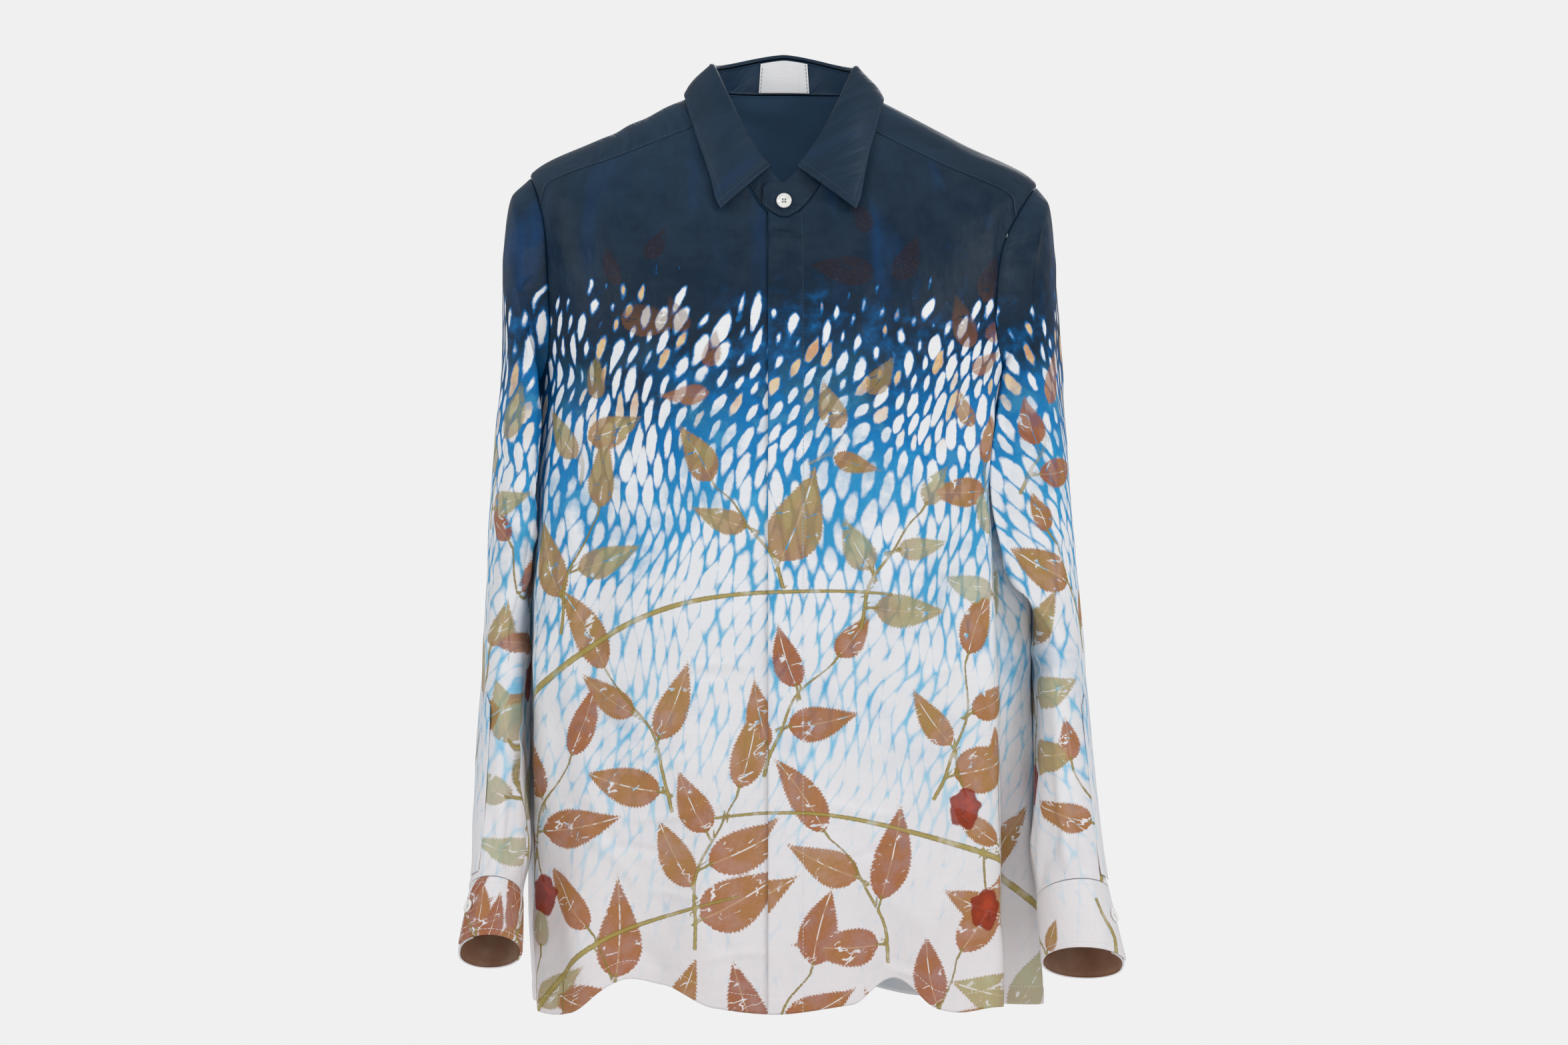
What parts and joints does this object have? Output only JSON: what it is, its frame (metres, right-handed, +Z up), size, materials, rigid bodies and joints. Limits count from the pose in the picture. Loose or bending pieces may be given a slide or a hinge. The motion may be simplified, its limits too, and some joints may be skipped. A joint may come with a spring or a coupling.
{
  "type": "silk shirt",
  "caption": "Hollow long-sleeved silk shirt, filled out with no wearer, with a fold-over collar, yoke, concealed button placket, buttoned cuffs and a shaped hem",
  "frame": {"origin": "midway between the two points where the shoulder seams meet the neck seam, at the height where a wearer's shoulders carry the shirt", "axes": "+Z up, -Y the shirt's front, +X the wearer's left"},
  "size_m": [0.549, 0.2661, 0.8178],
  "materials": {
    "printed_silk": "satin",
    "collar_silk": "satin",
    "cuff_silk": "satin",
    "label_tape": "matte",
    "button": "glossy"
  },
  "bodies": {
    "root": {"front_left": "printed_silk", "front_right": "printed_silk", "back": "printed_silk", "yoke": "printed_silk", "sleeve_left": "printed_silk", "sleeve_right": "printed_silk", "cuff_left": "cuff_silk", "cuff_right": "cuff_silk", "sleeve_placket_left": "cuff_silk", "sleeve_placket_right": "cuff_silk", "collar_stand": "collar_silk", "collar_leaf": "collar_silk", "label": "label_tape", "collar_button": "button", "cuff_button_left": "button", "cuff_button_right": "button"}
  },
  "joints": []
}
